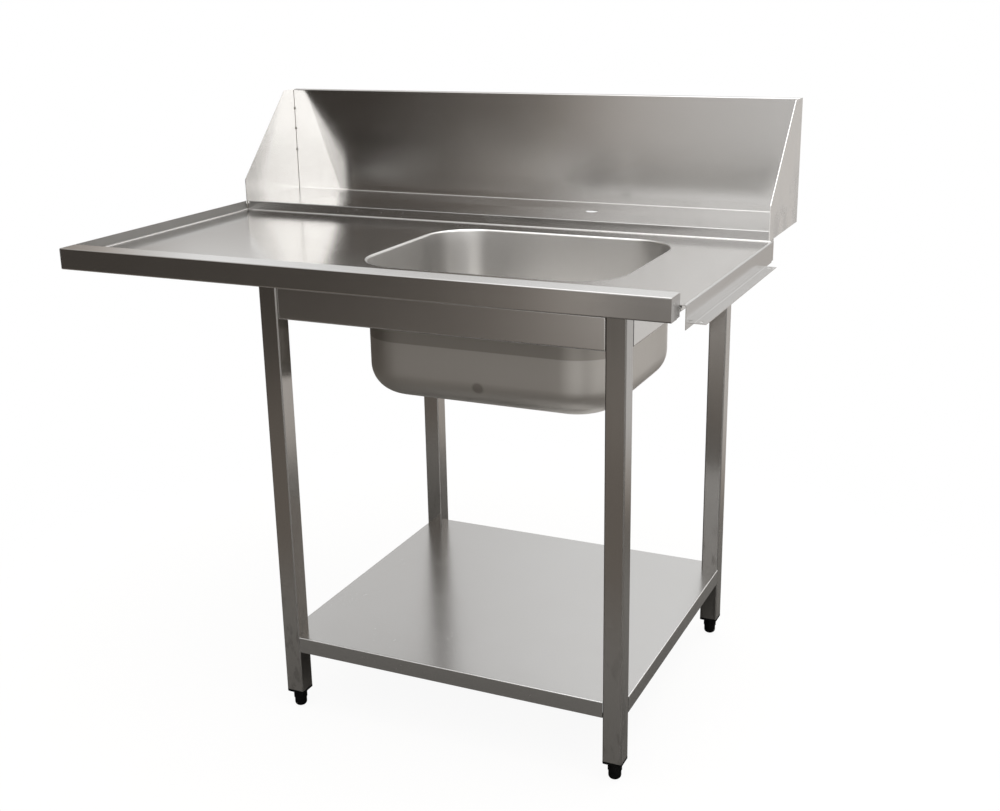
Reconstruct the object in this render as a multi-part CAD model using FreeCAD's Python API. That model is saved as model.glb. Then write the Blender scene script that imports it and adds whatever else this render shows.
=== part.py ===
import FreeCAD, Part
import math
import os

# Sink table for a dishwasher's outlet side, in millimetres.
# +X runs along the table to the docking end, +Y runs from front to back, +Z is up.
# The origin is on the floor, below the middle of the whole table.

# Sheet metal and tube
sheet = 1.2
bend_radius = 1.2
bowl_sheet = 1.0
tube_wall = 1.2
tube_corner_radius = 2.5
overrun = 10.0

# Sink bowl
bowl_length = 500.0
bowl_width = 400.0
bowl_depth = 250.0
bowl_corner_radius = 92.0
bowl_bottom_radius = 54.0
bowl_edge_radius = 8.0

# Base frame: the legs stand clear of the bowl by these gaps
leg_size = 35.0
bowl_to_left_legs = 66.0
bowl_to_right_legs = 44.0
bowl_to_front_legs = 104.5
bowl_to_rear_legs = 56.5
rail_height = 57.0
rail_depth = 20.0
rail_setback = 3.0
rail_corner_radius = 3.0

# Worktop: a recessed deck with raised front, left and rear edges
left_overhang = 437.0
right_overhang = 83.0
leg_setback = 5.5
worktop_height = 850.0
edge_rise = 20.0
rim_height = 40.0
rim_depth = 45.0
rim_return = 30.0
rim_end_gap = 10.0
bowl_to_ledge = 59.0
deck_rear_lap = 36.0
rear_return = 20.0

# Docking flange and the lip that screws to the dishwasher
flange_height = 40.0
lip_reach = 20.0
lip_end_inset = 44.0
lip_hole_diameter = 8.0
lip_hole_inset = 13.0
lip_hole_from_flange = 9.0

# Rear ledge, splashback and side panels
ledge_depth = 218.0
splash_height = 250.0
splash_depth = 18.0
splash_turn_down = 15.0
splash_end_gap = 6.0
panel_front_height = 68.0
panel_top_depth = 40.0
panel_corner_radius = 6.0
tap_hole_diameter = 26.0
tap_hole_from_splash = 107.5
tap_hole_from_bowl_centre = 3.0

# Stiffeners: hat sections under the deck, the ledge and the shelf
hat_width = 60.0
hat_crown = 30.0
hat_end_inset = 15.0
ledge_hat_from_end = 110.0
ledge_hat_gap = 3.0
shelf_hat_height = 20.0
shelf_hat_gap = 4.0

# Bottom shelf
shelf_height = 153.5
shelf_edge = 30.0
shelf_return = 15.0
shelf_hat_spacing = 260.0

# Levelling feet
foot_height = 36.0
foot_collar_diameter = 25.4
foot_base_diameter = 23.0
foot_base_height = 17.0
foot_bottom_radius = 7.5
foot_chamfer = 1.0
stem_diameter = 10.0
stem_in_foot = 20.0
stem_engagement = 17.0
stem_chamfer = 1.0
insert_flange = 2.0
insert_plug = 25.0
insert_fit_gap = 0.15
thread_clearance = 0.1
foot_seat_gap = 0.3
foot_travel = 25.0

# Waste outlet in the bowl
waste_flange_diameter = 80.0
waste_flange_height = 3.0
waste_flange_chamfer = 1.5
waste_thread_diameter = 47.8
waste_bore_diameter = 41.0
waste_tail_length = 40.0
waste_relief_height = 2.0
waste_relief_depth = 1.2
waste_hole_clearance = 1.0
waste_fit_gap = 0.1
seal_diameter = 66.0
seal_height = 3.0
nut_across_flats = 60.0
nut_height = 9.0
strainer_height = 2.0
strainer_drop = 6.0
strainer_seat = 1.5
strainer_hole_diameter = 6.0
strainer_hole_count = 8
strainer_ring_diameter = 26.0

# Sizes that follow from the ones above
frame_length = 2 * leg_size + bowl_length + bowl_to_left_legs + bowl_to_right_legs
frame_depth = 2 * leg_size + bowl_width + bowl_to_front_legs + bowl_to_rear_legs
worktop_length = left_overhang + frame_length + right_overhang
rim_length = worktop_length - rim_end_gap
splash_length = worktop_length - splash_end_gap

# Places along the table, measured from its left end
frame_left = left_overhang
frame_right = frame_left + frame_length
bowl_centre_x = frame_left + leg_size + bowl_to_left_legs + bowl_length / 2

# Places from front to back, measured from the front face of the rim
frame_front = leg_setback
frame_rear = frame_front + frame_depth
bowl_centre_y = frame_front + leg_size + bowl_to_front_legs + bowl_width / 2
ledge_front = bowl_centre_y + bowl_width / 2 + bowl_to_ledge
splash_face = ledge_front + ledge_depth
table_rear = splash_face + splash_depth
deck_rear = ledge_front + deck_rear_lap
tap_hole_x = bowl_centre_x + tap_hole_from_bowl_centre
tap_hole_y = splash_face - tap_hole_from_splash
lip_front = rim_depth + lip_end_inset
lip_rear = ledge_front - lip_end_inset

# Heights above the floor
edge_top = worktop_height + edge_rise
rim_bottom = edge_top - rim_height
splash_top = worktop_height + splash_height
leg_bottom = foot_height + insert_flange
bowl_bottom = worktop_height - bowl_depth
lip_level = worktop_height - flange_height

half_sheet = sheet / 2
outer_bend = bend_radius + sheet
opening_length = bowl_length + 2 * bowl_edge_radius
opening_width = bowl_width + 2 * bowl_edge_radius
opening_radius = bowl_corner_radius + bowl_edge_radius
box_length = worktop_length + lip_reach

UP = FreeCAD.Vector(0, 0, 1)
ALONG = FreeCAD.Vector(1, 0, 0)
BACK = FreeCAD.Vector(0, 1, 0)


def at(x, y, z):
    """A point given from the table's left end, its front face and the floor."""
    return FreeCAD.Vector(x - box_length / 2, y - table_rear / 2, z)


def block(x0, x1, y0, y1, z0, z1):
    return Part.makeBox(x1 - x0, y1 - y0, z1 - z0, at(x0, y0, z0))


def polygon(points):
    return Part.Face(Part.makePolygon(points + points[:1]))


def edges_along(shape, direction):
    """Straight edges of the shape that run along a direction."""
    found = []
    for edge in shape.Edges:
        if isinstance(edge.Curve, Part.Line):
            run = (edge.Vertexes[-1].Point - edge.Vertexes[0].Point).normalize()
            if abs(run.dot(direction)) > math.cos(math.radians(1)):
                found.append(edge)
    return found


def edges_at(shape, coordinate, value):
    """Edges that lie whole at one value of a coordinate, which is named X, Y or Z."""
    slack = sheet / 100
    found = []
    for edge in shape.Edges:
        low = getattr(edge.BoundBox, coordinate + "Min")
        high = getattr(edge.BoundBox, coordinate + "Max")
        if abs(low - value) < slack and abs(high - value) < slack:
            found.append(edge)
    return found


def folded_outline(path, thickness, radius):
    """Line and arc corners of a sheet folded along a mid-line.

    Each side of the sheet is the mid-line moved out by half the thickness. At a fold both
    sides turn on arcs about one centre, which lies a mid radius from the two legs of the fold.
    """
    half = thickness / 2
    mid_radius = radius + half
    points = [FreeCAD.Vector(u, v, 0) for u, v in path]
    runs = [(b - a).normalize() for a, b in zip(points, points[1:])]
    normals = [UP.cross(run) for run in runs]
    sides = []
    for side in (1, -1):
        pieces = []
        last = points[0] + normals[0] * (side * half)
        for corner, a, b, na, nb in zip(points[1:], runs, runs[1:], normals, normals[1:]):
            turn = math.copysign(1, a.cross(b).z)
            reach = mid_radius * math.tan(a.getAngle(b) / 2)
            centre = corner - a * reach + na * (turn * mid_radius)
            arc_radius = mid_radius - side * turn * half
            start = corner - a * reach + na * (side * half)
            end = corner + b * reach + nb * (side * half)
            middle = centre + (corner - centre).normalize() * arc_radius
            pieces.append((last, start))
            pieces.append((start, middle, end))
            last = end
        pieces.append((last, points[-1] + normals[-1] * (side * half)))
        sides.append(pieces)
    left, right = sides
    first_cap = (left[0][0], right[0][0])
    last_cap = (left[-1][-1], right[-1][-1])
    return left + right + [first_cap, last_cap]


def folded_sheet(path, place, direction, length, thickness=sheet, radius=bend_radius):
    """A sheet folded along a mid-line in the plane given by place, drawn out along a direction."""
    edges = []
    for piece in folded_outline(path, thickness, radius):
        points = [place(point.x, point.y) for point in piece]
        if len(points) == 3:
            edges.append(Part.Arc(*points).toShape())
        elif (points[1] - points[0]).Length > thickness / 100:
            edges.append(Part.makeLine(points[0], points[1]))
    wire = Part.Wire(Part.__sortEdges__(edges))
    return Part.Face(wire).extrude(direction * length)


def folded_along_x(path, x0, x1):
    """A folded sheet whose mid-line is given in Y and Z."""
    return folded_sheet(path, lambda y, z: at(x0, y, z), ALONG, x1 - x0)


def folded_along_y(path, y0, y1):
    """A folded sheet whose mid-line is given in X and Z."""
    return folded_sheet(path, lambda x, z: at(x, y0, z), BACK, y1 - y0)


def rounded_prism(centre_x, centre_y, length, width, radius, z0, z1):
    """An upright block with round corners."""
    solid = block(
        centre_x - length / 2, centre_x + length / 2, centre_y - width / 2, centre_y + width / 2, z0, z1
    )
    return solid.makeFillet(radius, edges_along(solid, UP))


def hat_path(centre, top, height, sign=1):
    """Mid-line of a hat section, brims up, or brims down where sign is -1."""
    brim_level = top - sign * half_sheet
    crown_level = top - sign * (height - half_sheet)
    brim_half = hat_width / 2
    crown_half = hat_crown / 2 - half_sheet
    return [
        (centre - brim_half, brim_level),
        (centre - crown_half, brim_level),
        (centre - crown_half, crown_level),
        (centre + crown_half, crown_level),
        (centre + crown_half, brim_level),
        (centre + brim_half, brim_level),
    ]


def worktop():
    """Deck with its front rim, left upstand and rear turn-down, as one folded sheet."""
    deck = worktop_height - half_sheet
    rear = deck_rear - half_sheet
    deck_front = rim_depth + outer_bend
    deck_right = worktop_length - half_sheet - outer_bend
    rim_path = [
        (rim_return, rim_bottom + half_sheet),
        (half_sheet, rim_bottom + half_sheet),
        (half_sheet, edge_top - half_sheet),
        (rim_depth - half_sheet, edge_top - half_sheet),
        (rim_depth - half_sheet, deck),
        (deck_front, deck),
    ]
    rear_path = [
        (ledge_front, deck),
        (rear, deck),
        (rear, rim_bottom + half_sheet),
        (rear - rear_return, rim_bottom + half_sheet),
    ]
    upstand_path = [(outer_bend, deck), (half_sheet, deck), (half_sheet, edge_top)]
    under = worktop_height - sheet
    rim = folded_along_x(rim_path, 0, rim_length)
    plate = block(outer_bend, deck_right, deck_front, ledge_front, under, worktop_height)
    dock = block(rim_length, deck_right, rim_depth, deck_front, under, worktop_height)
    rear_edge = folded_along_x(rear_path, 0, splash_length)
    upstand = folded_along_y(upstand_path, rim_depth, ledge_front - sheet)
    opening = rounded_prism(
        bowl_centre_x, bowl_centre_y, opening_length, opening_width, opening_radius,
        worktop_height - overrun, worktop_height + overrun,
    )
    return rim.multiFuse([plate, dock, rear_edge, upstand]).cut(opening).removeSplitter()


def docking_flange():
    """Folded strip welded to the deck's right edge: a flange turned down, and a lip turned out."""
    deck = worktop_height - half_sheet
    side = worktop_length - half_sheet
    lip_middle = lip_level + half_sheet
    bend_top = lip_level + outer_bend
    flange_path = [(side - outer_bend, deck), (side, deck), (side, bend_top)]
    lip_path = [(side, bend_top), (side, lip_middle), (box_length, lip_middle)]
    flange = folded_along_y(flange_path, rim_depth, ledge_front)
    lip = folded_along_y(lip_path, lip_front, lip_rear)
    foot = block(worktop_length - sheet, worktop_length, rim_depth, ledge_front, lip_level, bend_top)
    lip_room = block(worktop_length - sheet, box_length, lip_front, lip_rear, lip_level - overrun, bend_top)
    body = flange.multiFuse([foot.cut(lip_room), lip])
    for y in (lip_front + lip_hole_inset, lip_rear - lip_hole_inset):
        centre = at(worktop_length + lip_hole_from_flange, y, lip_level - overrun)
        body = body.cut(Part.makeCylinder(lip_hole_diameter / 2, 2 * overrun, centre, UP))
    return body.removeSplitter()


def rim_cap(x):
    """Plate welded into one end of the front rim, inside its folds."""
    plate = block(x, x + sheet, sheet, rim_depth - sheet, rim_bottom + sheet, edge_top - sheet)
    corners = [
        edge for edge in edges_along(plate, ALONG)
        if edge.CenterOfMass.y < plate.CenterOfMass.y or edge.CenterOfMass.z > plate.CenterOfMass.z
    ]
    return plate.makeFillet(bend_radius, corners)


def splashback():
    """Rear ledge and upright splashback, folded from one sheet, with the tap hole."""
    ledge = edge_top - half_sheet
    path = [
        (ledge_front + half_sheet, worktop_height),
        (ledge_front + half_sheet, ledge),
        (splash_face + half_sheet, ledge),
        (splash_face + half_sheet, splash_top - half_sheet),
        (table_rear - half_sheet, splash_top - half_sheet),
        (table_rear - half_sheet, splash_top - splash_turn_down),
    ]
    body = folded_along_x(path, sheet, splash_length - sheet)
    hole_foot = at(tap_hole_x, tap_hole_y, edge_top - overrun)
    return body.cut(Part.makeCylinder(tap_hole_diameter / 2, 2 * overrun, hole_foot, UP))


def side_panel(x):
    """Welded plate that closes one end of the ledge and splashback."""
    slope_top = splash_face - panel_top_depth
    outline = [
        at(x, ledge_front, worktop_height),
        at(x, ledge_front, worktop_height + panel_front_height),
        at(x, slope_top, splash_top),
        at(x, table_rear, splash_top),
        at(x, table_rear, worktop_height),
    ]
    plate = polygon(outline).extrude(ALONG * sheet)
    corners = [
        edge for edge in edges_along(plate, ALONG)
        if edge.CenterOfMass.distanceToPoint(outline[2]) < 2 * sheet
    ]
    return plate.makeFillet(panel_corner_radius, corners)


def bowl_skin(inset):
    """The bowl's hollow, with its rounded bottom and rolled edge, grown outwards by the inset."""
    level = worktop_height - inset
    hollow = rounded_prism(
        bowl_centre_x, bowl_centre_y, bowl_length + 2 * inset, bowl_width + 2 * inset,
        bowl_corner_radius + inset, bowl_bottom + bowl_sheet - inset, level,
    )
    bottom = edges_at(hollow, "Z", bowl_bottom + bowl_sheet - inset)
    hollow = hollow.makeFillet(bowl_bottom_radius + inset, bottom)
    slab = block(
        bowl_centre_x - opening_length, bowl_centre_x + opening_length,
        bowl_centre_y - opening_width, bowl_centre_y + opening_width, level, level + overrun,
    )
    joined = hollow.fuse(slab)
    reach = hollow.BoundBox
    reach.enlarge(bowl_sheet)
    mouth = [edge for edge in edges_at(joined, "Z", level) if reach.isInside(edge.CenterOfMass)]
    return joined.makeFillet(bowl_edge_radius - inset, mouth)


def sink_bowl():
    """Pressed bowl with a rolled edge that is welded into the deck's opening."""
    trim = rounded_prism(
        bowl_centre_x, bowl_centre_y, opening_length, opening_width, opening_radius,
        bowl_bottom - overrun, worktop_height,
    )
    bowl = bowl_skin(bowl_sheet).cut(bowl_skin(0)).common(trim)
    hole_radius = waste_thread_diameter / 2 + waste_hole_clearance
    hole_foot = at(bowl_centre_x, bowl_centre_y, bowl_bottom - overrun)
    return bowl.cut(Part.makeCylinder(hole_radius, 2 * overrun, hole_foot, UP))


def leg(x, y):
    """Square tube leg with round corners."""
    solid = block(x, x + leg_size, y, y + leg_size, leg_bottom, rim_bottom)
    solid = solid.makeFillet(tube_corner_radius, edges_along(solid, UP))
    bore = block(
        x + tube_wall, x + leg_size - tube_wall, y + tube_wall, y + leg_size - tube_wall,
        leg_bottom - overrun, rim_bottom + overrun,
    )
    bore = bore.makeFillet(tube_corner_radius - tube_wall, edges_along(bore, UP))
    return solid.cut(bore)


def rail_pan(x0, x1, y0, y1, face, direction):
    """Pressed rail: an outer face with its four edges turned in, open at the back."""
    z0 = rim_bottom - rail_height
    z1 = rim_bottom
    coordinate = "Y" if direction.y else "X"
    inner_face = face + sheet * (direction.x + direction.y)
    outer = block(x0, x1, y0, y1, z0, z1)
    outer = outer.makeFillet(rail_corner_radius, edges_at(outer, coordinate, face))
    hollow = block(x0 + sheet, x1 - sheet, y0 + sheet, y1 - sheet, z0 + sheet, z1 - sheet)
    rounded = hollow.makeFillet(rail_corner_radius - sheet, edges_at(hollow, coordinate, inner_face))
    mouth = hollow.translated(direction * (rail_depth / 2))
    return outer.cut(rounded.fuse(mouth))


def rails():
    """The four rails between the legs, each with its outer face just behind the legs' faces."""
    x0 = frame_left + leg_size
    x1 = frame_right - leg_size
    y0 = frame_front + leg_size
    y1 = frame_rear - leg_size
    front = frame_front + rail_setback
    rear = frame_rear - rail_setback
    left = frame_left + rail_setback
    right = frame_right - rail_setback
    face = at(left, front, 0)
    far_face = at(right, rear, 0)
    return {
        "front_rail": rail_pan(x0, x1, front, front + rail_depth, face.y, BACK),
        "rear_rail": rail_pan(x0, x1, rear - rail_depth, rear, far_face.y, BACK * -1),
        "left_rail": rail_pan(left, left + rail_depth, y0, y1, face.x, ALONG),
        "right_rail": rail_pan(right - rail_depth, right, y0, y1, far_face.x, ALONG * -1),
    }


def bottom_shelf():
    """Shelf with folded edges, notched round the legs."""
    low = shelf_height - shelf_edge
    outer = block(frame_left, frame_right, frame_front, frame_rear, low, shelf_height)
    outer = outer.makeFillet(outer_bend, edges_at(outer, "Z", shelf_height))
    inner = block(
        frame_left + sheet, frame_right - sheet, frame_front + sheet, frame_rear - sheet,
        low + sheet, shelf_height - sheet,
    )
    inner = inner.makeFillet(bend_radius, edges_at(inner, "Z", shelf_height - sheet))
    mouth = block(
        frame_left + shelf_return, frame_right - shelf_return, frame_front + shelf_return,
        frame_rear - shelf_return, low - overrun, low + overrun,
    )
    shelf = outer.cut(inner.fuse(mouth))
    for x in (frame_left, frame_right - leg_size):
        for y in (frame_front, frame_rear - leg_size):
            shelf = shelf.cut(block(x, x + leg_size, y, y + leg_size, low - overrun, shelf_height + overrun))
    return shelf


def shelf_stiffener(y):
    """Hat section under the shelf, brims against the shelf."""
    path = hat_path(y, shelf_height - sheet, shelf_hat_height)
    return folded_along_x(path, frame_left + sheet + shelf_hat_gap, frame_right - sheet - shelf_hat_gap)


def worktop_stiffener(y):
    """Long hat section between the deck and the side rails, which it crosses."""
    path = hat_path(y, worktop_height - sheet, worktop_height - sheet - rim_bottom)
    return folded_along_x(path, hat_end_inset, rim_length - hat_end_inset)


def ledge_bracket(x):
    """Hat section that carries the ledge from the deck's rear strip."""
    path = hat_path(x, edge_top - sheet, edge_rise - sheet)
    return folded_along_y(path, ledge_front + sheet + ledge_hat_gap, splash_face - ledge_hat_gap)


def foot_insert(x, y):
    """Plastic plug in the leg's end, with the hole that the foot's stem screws into."""
    flange = block(x, x + leg_size, y, y + leg_size, foot_height, leg_bottom)
    flange = flange.makeFillet(tube_corner_radius, edges_along(flange, UP))
    gap = tube_wall + insert_fit_gap
    top = leg_bottom + insert_plug
    plug = block(x + gap, x + leg_size - gap, y + gap, y + leg_size - gap, leg_bottom, top)
    plug = plug.makeChamfer(tube_corner_radius - tube_wall + insert_fit_gap, edges_along(plug, UP))
    centre = at(x + leg_size / 2, y + leg_size / 2, foot_height - overrun)
    radius = stem_diameter / 2 + thread_clearance
    bore = Part.makeCylinder(radius, insert_flange + insert_plug + 2 * overrun, centre, UP)
    return flange.fuse(plug).cut(bore).removeSplitter()


def revolved(points, centre):
    """A solid of revolution about the upright axis through a centre; points are radius and height."""
    outline = [FreeCAD.Vector(r, 0, z) for r, z in points]
    solid = polygon(outline).revolve(FreeCAD.Vector(0, 0, 0), UP, 360)
    solid.translate(FreeCAD.Vector(centre.x, centre.y, 0))
    return solid


def levelling_foot(x, y):
    """Moulded foot: a collar over a slimmer base with a rounded bottom."""
    centre = at(x + leg_size / 2, y + leg_size / 2, 0)
    top = foot_height - foot_seat_gap
    socket = top - stem_in_foot
    base = Part.makeCylinder(foot_base_diameter / 2, foot_base_height, centre, UP)
    base = base.makeFillet(foot_bottom_radius, edges_at(base, "Z", 0))
    collar_foot = centre + UP * foot_base_height
    collar = Part.makeCylinder(foot_collar_diameter / 2, top - foot_base_height, collar_foot, UP)
    rims = edges_at(collar, "Z", foot_base_height) + edges_at(collar, "Z", top)
    collar = collar.makeChamfer(foot_chamfer, rims)
    hole = Part.makeCylinder(stem_diameter / 2, stem_in_foot + overrun, centre + UP * socket, UP)
    return base.fuse(collar).cut(hole).removeSplitter()


def foot_stem(x, y):
    """Threaded stem moulded into the foot, drawn at the thread's outer diameter."""
    centre = at(x + leg_size / 2, y + leg_size / 2, 0)
    foot_top = foot_height - foot_seat_gap
    low = foot_top - stem_in_foot
    high = leg_bottom + stem_engagement + foot_travel
    stem = Part.makeCylinder(stem_diameter / 2, high - low, centre + UP * low, UP)
    return stem.makeChamfer(stem_chamfer, edges_at(stem, "Z", high))


def waste_flange():
    """Flanged and threaded waste body that clamps through the bowl's bottom."""
    floor = bowl_bottom + bowl_sheet
    centre = at(bowl_centre_x, bowl_centre_y, 0)
    tail = bowl_bottom - waste_tail_length
    seat = floor + waste_flange_height - strainer_drop - strainer_height
    outer = waste_thread_diameter / 2
    bore = waste_bore_diameter / 2
    relief_top = bowl_bottom - seal_height - nut_height
    relief_foot = relief_top - waste_relief_height
    points = [
        (bore - strainer_seat, tail),
        (outer, tail),
        (outer, relief_foot),
        (outer - waste_relief_depth, relief_foot),
        (outer - waste_relief_depth, relief_top),
        (outer, relief_top),
        (outer, floor),
        (waste_flange_diameter / 2, floor),
        (waste_flange_diameter / 2, floor + waste_flange_height - waste_flange_chamfer),
        (waste_flange_diameter / 2 - waste_flange_chamfer, floor + waste_flange_height),
        (bore + waste_flange_chamfer, floor + waste_flange_height),
        (bore, floor + waste_flange_height - waste_flange_chamfer),
        (bore, seat),
        (bore - strainer_seat, seat),
    ]
    return revolved(points, centre)


def waste_strainer():
    """Strainer disc that lies on the seat in the waste's bore."""
    seat = bowl_bottom + bowl_sheet + waste_flange_height - strainer_drop - strainer_height
    centre = at(bowl_centre_x, bowl_centre_y, seat)
    disc = Part.makeCylinder(waste_bore_diameter / 2 - waste_fit_gap, strainer_height, centre, UP)
    cuts = [Part.makeCylinder(strainer_hole_diameter / 2, strainer_height, centre, UP)]
    for index in range(strainer_hole_count):
        angle = 2 * math.pi * index / strainer_hole_count
        offset = FreeCAD.Vector(math.cos(angle), math.sin(angle), 0) * (strainer_ring_diameter / 2)
        cuts.append(Part.makeCylinder(strainer_hole_diameter / 2, strainer_height, centre + offset, UP))
    return disc.cut(cuts[0].multiFuse(cuts[1:]))


def waste_seal():
    """Rubber ring between the bowl's underside and the backnut."""
    inner = waste_thread_diameter / 2 + waste_fit_gap
    points = [
        (inner, bowl_bottom - seal_height),
        (seal_diameter / 2, bowl_bottom - seal_height),
        (seal_diameter / 2, bowl_bottom),
        (inner, bowl_bottom),
    ]
    return revolved(points, at(bowl_centre_x, bowl_centre_y, 0))


def waste_backnut():
    """Hexagon nut that pulls the waste body down on the seal."""
    top = bowl_bottom - seal_height
    centre = at(bowl_centre_x, bowl_centre_y, top - nut_height)
    corner = nut_across_flats / 2 / math.cos(math.pi / 6)
    corners = []
    for index in range(6):
        angle = math.pi * index / 3
        corners.append(centre + FreeCAD.Vector(math.cos(angle), math.sin(angle), 0) * corner)
    nut = polygon(corners).extrude(UP * nut_height)
    return nut.cut(Part.makeCylinder(waste_thread_diameter / 2 + waste_fit_gap, nut_height, centre, UP))


def main():
    os.makedirs("parts", exist_ok=True)
    nodes = {
        "worktop": worktop(),
        "docking_flange": docking_flange(),
        "front_rim_cap_left": rim_cap(0),
        "front_rim_cap_right": rim_cap(rim_length - sheet),
        "splashback": splashback(),
        "left_side_panel": side_panel(0),
        "right_side_panel": side_panel(splash_length - sheet),
        "sink_bowl": sink_bowl(),
        "bottom_shelf": bottom_shelf(),
        "waste_flange": waste_flange(),
        "waste_strainer": waste_strainer(),
        "waste_seal": waste_seal(),
        "waste_backnut": waste_backnut(),
    }
    nodes.update(rails())
    opening_front = bowl_centre_y - opening_width / 2
    opening_rear = bowl_centre_y + opening_width / 2
    nodes["worktop_stiffener_front"] = worktop_stiffener((rim_depth + opening_front) / 2)
    nodes["worktop_stiffener_rear"] = worktop_stiffener((opening_rear + deck_rear - sheet) / 2)
    shelf_middle = (frame_front + frame_rear) / 2
    nodes["shelf_stiffener_front"] = shelf_stiffener(shelf_middle - shelf_hat_spacing / 2)
    nodes["shelf_stiffener_rear"] = shelf_stiffener(shelf_middle + shelf_hat_spacing / 2)
    nodes["ledge_bracket_left"] = ledge_bracket(ledge_hat_from_end)
    nodes["ledge_bracket_middle"] = ledge_bracket(splash_length / 2)
    nodes["ledge_bracket_right"] = ledge_bracket(splash_length - ledge_hat_from_end)
    corners = {
        "front_left": (frame_left, frame_front),
        "front_right": (frame_right - leg_size, frame_front),
        "rear_left": (frame_left, frame_rear - leg_size),
        "rear_right": (frame_right - leg_size, frame_rear - leg_size),
    }
    for name, (x, y) in corners.items():
        nodes["leg_" + name] = leg(x, y)
        nodes["foot_insert_" + name] = foot_insert(x, y)
        nodes["levelling_foot_" + name] = levelling_foot(x, y)
        nodes["foot_stem_" + name] = foot_stem(x, y)
    for name, shape in nodes.items():
        solids = shape.Solids
        shape = solids[0] if len(solids) == 1 else shape
        print(f"{name}: {len(solids)} solid, {shape.Volume / 1000:.1f} cm3, valid {shape.isValid()}")
        shape.exportStep(f"parts/{name}.step")
    print(f"table {box_length:.0f} x {table_rear:.0f} x {splash_top:.0f} mm")


main()
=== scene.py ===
# %% [markdown]
# # A dishwasher's sink table in brushed steel
#
# The table is folded from thin stainless sheet: a recessed worktop with a pressed bowl, a
# rear ledge and splashback, four square legs, a bottom shelf and black levelling feet. The
# measured solids come in as a frame. This lesson gives each of them its finish, and works
# out the pieces whose shape needs smooth surfaces, such as the bowl, with numpy.

# %% Load the frame
import bmesh
import bpy
import math
import numpy as np
from mathutils import Matrix, Vector


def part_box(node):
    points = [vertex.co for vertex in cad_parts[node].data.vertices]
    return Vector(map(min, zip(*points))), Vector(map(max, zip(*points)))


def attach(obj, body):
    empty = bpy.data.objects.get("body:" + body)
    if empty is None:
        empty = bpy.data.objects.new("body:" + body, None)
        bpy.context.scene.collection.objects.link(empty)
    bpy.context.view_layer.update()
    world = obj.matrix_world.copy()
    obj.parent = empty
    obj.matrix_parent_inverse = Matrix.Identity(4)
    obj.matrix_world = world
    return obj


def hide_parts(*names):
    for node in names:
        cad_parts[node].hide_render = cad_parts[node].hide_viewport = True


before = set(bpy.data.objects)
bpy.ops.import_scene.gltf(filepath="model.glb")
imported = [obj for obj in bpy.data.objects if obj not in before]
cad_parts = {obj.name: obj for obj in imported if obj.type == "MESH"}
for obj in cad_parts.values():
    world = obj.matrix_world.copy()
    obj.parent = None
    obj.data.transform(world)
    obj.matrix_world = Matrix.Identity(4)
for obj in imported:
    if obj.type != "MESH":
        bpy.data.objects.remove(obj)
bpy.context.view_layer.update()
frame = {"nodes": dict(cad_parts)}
nodes = frame["nodes"]

# %% [markdown]
# ## The camera
#
# The camera stands to the right of the table and looks down on it a little. It could be
# moved by hand until the picture looks right. Here its place, its turn and its lens were
# solved from the table's straight edges instead, so the render's edges fall on the
# photograph's.

# %% Place the camera
CAMERA_PLACE = (1.1636, -2.3065, 1.3248)
CAMERA_YAW, CAMERA_PITCH, CAMERA_ROLL = 0.433, -0.3067, -0.0176
FOCAL_LENGTH_PIXELS = 1326.9
IMAGE_WIDTH_PIXELS = 1000
SENSOR_WIDTH_MM = 36.0


def camera_turn(yaw, pitch, roll):
    """The camera's axes as the columns of a matrix: its right, its up and its back."""
    level = math.cos(pitch)
    ahead = np.array([-math.sin(yaw) * level, math.cos(yaw) * level, math.sin(pitch)])
    right = np.array([math.cos(yaw), math.sin(yaw), 0.0])
    up = np.cross(right, ahead)
    turned_right = math.cos(roll) * right + math.sin(roll) * up
    turned_up = math.cos(roll) * up - math.sin(roll) * right
    return Matrix(np.column_stack([turned_right, turned_up, -ahead]).tolist())


lens = bpy.data.cameras.new("camera")
lens.sensor_width = SENSOR_WIDTH_MM
lens.lens = FOCAL_LENGTH_PIXELS / IMAGE_WIDTH_PIXELS * SENSOR_WIDTH_MM
camera = bpy.data.objects.new("camera", lens)
bpy.context.scene.collection.objects.link(camera)
turn = camera_turn(CAMERA_YAW, CAMERA_PITCH, CAMERA_ROLL)
camera.matrix_world = Matrix.Translation(CAMERA_PLACE) @ turn.to_4x4()
bpy.context.scene.camera = camera
bpy.context.scene.view_settings.view_transform = "Standard"
print("the lens is", round(lens.lens, 2), "mm")

# %% [markdown]
# ## Writing shader maths
#
# A material is a network of nodes. It could be drawn by hand in the node editor, but then
# nobody can read it as text. Wire wraps one output socket, so a sum of sockets is written as
# plain Python, and each operator adds one Math node. Every other kind of node comes from one
# method, which takes its settings first and then its sockets.

# %% A wire that sums can be written with


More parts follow.
